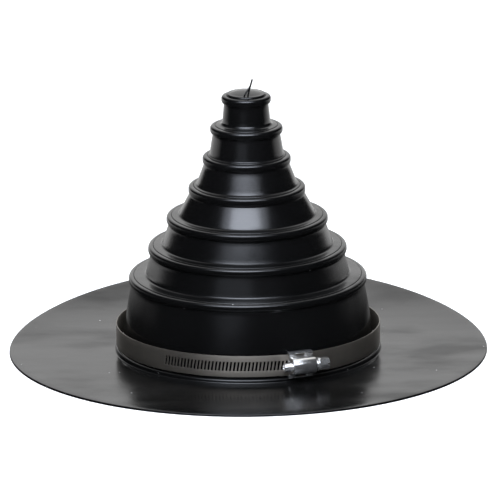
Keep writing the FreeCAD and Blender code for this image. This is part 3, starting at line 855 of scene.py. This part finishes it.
class PIPEBOOT_OT_clamp_band(bpy.types.Operator):
    """Punch and roll the clamp's slotted strip"""

    bl_idname = "pipe_boot.clamp_band"
    bl_label = "Clamp Band"

    def execute(self, context):
        sizes = context.scene.clamp_sizes
        columns, fixed_end = band_columns(sizes)
        bm = bmesh.new()
        flat_strip(bm, sizes, columns)
        bmesh.ops.recalc_face_normals(bm, faces=bm.faces)
        bmesh.ops.solidify(bm, geom=bm.faces[:], thickness=sizes.band_thickness)
        lowest = min(vert.co.y for vert in bm.verts)
        bmesh.ops.translate(bm, verts=bm.verts, vec=(0, -lowest, 0))
        bmesh.ops.recalc_face_normals(bm, faces=bm.faces)
        sharp = [edge for edge in bm.edges if edge.is_manifold and edge.calc_face_angle() > SHARP_ANGLE]
        bmesh.ops.bevel(
            bm, geom=sharp, offset=sizes.edge, offset_type="OFFSET", segments=EDGE_SEGMENTS,
            profile=ROUND_PROFILE, affect="EDGES", clamp_overlap=True, material=-1)
        roll_strip(bm, sizes, fixed_end)
        settle_band(bm, sizes)
        bmesh.ops.recalc_face_normals(bm, faces=bm.faces)
        material = steel_material("Band steel", sizes.band_steel, BAND_FINISH)
        add_piece("clamp_band_strip", bm, material, "boot", "band_steel", "clamp_band")
        return {"FINISHED"}


class PIPEBOOT_OT_clamp_housing(bpy.types.Operator):
    """Round the edges of the pressed saddle and housing"""

    bl_idname = "pipe_boot.clamp_housing"
    bl_label = "Clamp Housing"

    def execute(self, context):
        sizes = context.scene.clamp_sizes
        material = steel_material("Housing steel", sizes.housing_steel, HOUSING_FINISH)
        for node in ("clamp_saddle", "clamp_housing"):
            bm = softened_copy(node, sizes.pressed_edge)
            add_piece(node + "_pressing", bm, material, "boot", "housing_steel", node)
        return {"FINISHED"}


class PIPEBOOT_OT_worm_screw(bpy.types.Operator):
    """Round the edges of the worm screw"""

    bl_idname = "pipe_boot.worm_screw"
    bl_label = "Worm Screw"

    def execute(self, context):
        sizes = context.scene.clamp_sizes
        bm = softened_copy("worm_screw", sizes.screw_edge)
        material = steel_material("Screw steel", sizes.screw_steel, SCREW_FINISH)
        add_piece("worm_screw_turned", bm, material, "screw", "screw_steel", "worm_screw")
        return {"FINISHED"}


# Stage

def floor_material(settings):
    """White floor that keeps shadows; reflections see it dark in front of the boot and white behind it."""
    material, tree, shader = new_material("Studio floor")
    shader.inputs["Base Color"].default_value = FLOOR_WHITE
    shader.inputs["Roughness"].default_value = FLOOR_ROUGHNESS
    shader.inputs["Specular IOR Level"].default_value = 0.0
    path = add_node(tree, "ShaderNodeLightPath")
    glow = add_node(tree, "ShaderNodeEmission", {"Color": WHITE})
    seen_glow = joined(tree, "MULTIPLY", path.outputs["Is Camera Ray"], settings.floor_glow)
    tree.links.new(seen_glow, glow.inputs["Strength"])
    lit = add_node(tree, "ShaderNodeAddShader")
    tree.links.new(shader.outputs["BSDF"], lit.inputs[0])
    tree.links.new(glow.outputs["Emission"], lit.inputs[1])
    place = add_node(tree, "ShaderNodeTexCoord")
    way = add_node(tree, "ShaderNodeSeparateXYZ")
    tree.links.new(place.outputs["Object"], way.inputs["Vector"])
    level = mapped(tree, way.outputs["Y"], FLOOR_TURN, settings.front_level, settings.back_level)
    mirrored = add_node(tree, "ShaderNodeEmission", {"Color": WHITE})
    tree.links.new(level, mirrored.inputs["Strength"])
    both = add_node(tree, "ShaderNodeMixShader")
    seen = joined(tree, "MAXIMUM", path.outputs["Is Glossy Ray"], path.outputs["Is Transmission Ray"])
    tree.links.new(seen, both.inputs["Fac"])
    tree.links.new(lit.outputs["Shader"], both.inputs[1])
    tree.links.new(mirrored.outputs["Emission"], both.inputs[2])
    output = next(node for node in tree.nodes if node.type == "OUTPUT_MATERIAL")
    tree.links.new(both.outputs["Shader"], output.inputs["Surface"])
    return material


def surround(world, settings):
    """A white wall at the back, brighter at its top, a dark room in front, and white for the camera."""
    world.use_nodes = True
    tree = world.node_tree
    tree.nodes.clear()
    output = add_node(tree, "ShaderNodeOutputWorld")
    place = add_node(tree, "ShaderNodeTexCoord")
    way = add_node(tree, "ShaderNodeSeparateXYZ")
    tree.links.new(place.outputs["Generated"], way.inputs["Vector"])
    sideways = joined(tree, "ABSOLUTE", way.outputs["X"], 0)
    beside = mapped(tree, sideways, WALL_SIDES, 1.0, 0.0)
    behind = mapped(tree, way.outputs["Y"], WALL_TURN)
    wall = joined(tree, "MULTIPLY", beside, behind)
    level = mapped(tree, wall, (0.0, 1.0), settings.front_level, settings.back_level)
    gain = mapped(tree, way.outputs["Z"], WALL_TOP, 1.0, settings.top_gain)
    level = joined(tree, "MULTIPLY", level, gain)
    path = add_node(tree, "ShaderNodeLightPath")
    strength = joined(tree, "MAXIMUM", level, path.outputs["Is Camera Ray"])
    light = add_node(tree, "ShaderNodeBackground", {"Color": WHITE})
    tree.links.new(strength, light.inputs["Strength"])
    tree.links.new(light.outputs["Background"], output.inputs["Surface"])


def add_lamp(name, lamp, power):
    """A soft elliptical lamp that faces its aim."""
    light = bpy.data.lights.new(name, "AREA")
    light.shape = "ELLIPSE"
    light.color = COOL_WHITE
    light.size = lamp.width
    light.size_y = lamp.height
    light.energy = power
    box = bpy.data.objects.new(name, light)
    box.location = lamp.place
    box.rotation_euler = (Vector(lamp.aim) - Vector(lamp.place)).to_track_quat("-Z", "Y").to_euler()
    bpy.context.scene.collection.objects.link(box)


class PIPEBOOT_OT_stage(bpy.types.Operator):
    """Set up the floor, the surround, the lamps and the camera"""

    bl_idname = "pipe_boot.stage"
    bl_label = "Stage"

    def execute(self, context):
        settings = context.scene.stage_settings
        scene = context.scene
        scene.view_settings.view_transform = "Standard"
        bm = bmesh.new()
        bmesh.ops.create_grid(bm, x_segments=1, y_segments=1, size=settings.floor_size)
        mesh = bpy.data.meshes.new("studio_floor")
        bm.to_mesh(mesh)
        bm.free()
        mesh.materials.append(floor_material(settings))
        floor = bpy.data.objects.new("studio_floor", mesh)
        scene.collection.objects.link(floor)
        scene.world = bpy.data.worlds.new("Studio surround")
        surround(scene.world, settings)
        add_lamp("Softbox", SOFTBOX, settings.softbox_power)
        add_lamp("Softbox core", SOFTBOX_CORE, settings.softbox_core_power)
        add_lamp("Overhead", OVERHEAD, settings.overhead_power)
        add_lamp("Fill", FILL, settings.fill_power)
        camera_data = bpy.data.cameras.new("Camera")
        camera_data.lens = settings.lens
        camera = bpy.data.objects.new("Camera", camera_data)
        camera.location = settings.camera_place
        aim = Vector(settings.camera_aim) - Vector(settings.camera_place)
        turn = aim.to_track_quat("-Z", "Y") @ Quaternion(UP, settings.camera_roll)
        camera.rotation_euler = turn.to_euler()
        scene.collection.objects.link(camera)
        scene.camera = camera
        return {"FINISHED"}


class PIPEBOOT_PT_panel(bpy.types.Panel):
    """Lists the pieces and the stage"""

    bl_idname = "PIPEBOOT_PT_panel"
    bl_label = "Pipe Boot"
    bl_space_type = "VIEW_3D"
    bl_region_type = "UI"
    bl_category = "Pipe Boot"

    def draw(self, context):
        for operator in OPERATORS:
            self.layout.operator(operator.bl_idname)


GROUPS = {"boot_sizes": BootSizes, "clamp_sizes": ClampSizes, "stage_settings": StageSettings}
OPERATORS = (
    PIPEBOOT_OT_rubber_boot,
    PIPEBOOT_OT_tie_wire,
    PIPEBOOT_OT_clamp_band,
    PIPEBOOT_OT_clamp_housing,
    PIPEBOOT_OT_worm_screw,
    PIPEBOOT_OT_stage,
)
CLASSES = (*GROUPS.values(), *OPERATORS, PIPEBOOT_PT_panel)


def register():
    for cls in CLASSES:
        bpy.utils.register_class(cls)
    for name, group in GROUPS.items():
        setattr(bpy.types.Scene, name, PointerProperty(type=group))


def unregister():
    for name in GROUPS:
        delattr(bpy.types.Scene, name)
    for cls in reversed(CLASSES):
        bpy.utils.unregister_class(cls)


def main():
    register()
    bpy.ops.pipe_boot.rubber_boot()
    bpy.ops.pipe_boot.tie_wire()
    bpy.ops.pipe_boot.clamp_band()
    bpy.ops.pipe_boot.clamp_housing()
    bpy.ops.pipe_boot.worm_screw()
    bpy.ops.pipe_boot.stage()


if __name__ == "__main__":
    main()
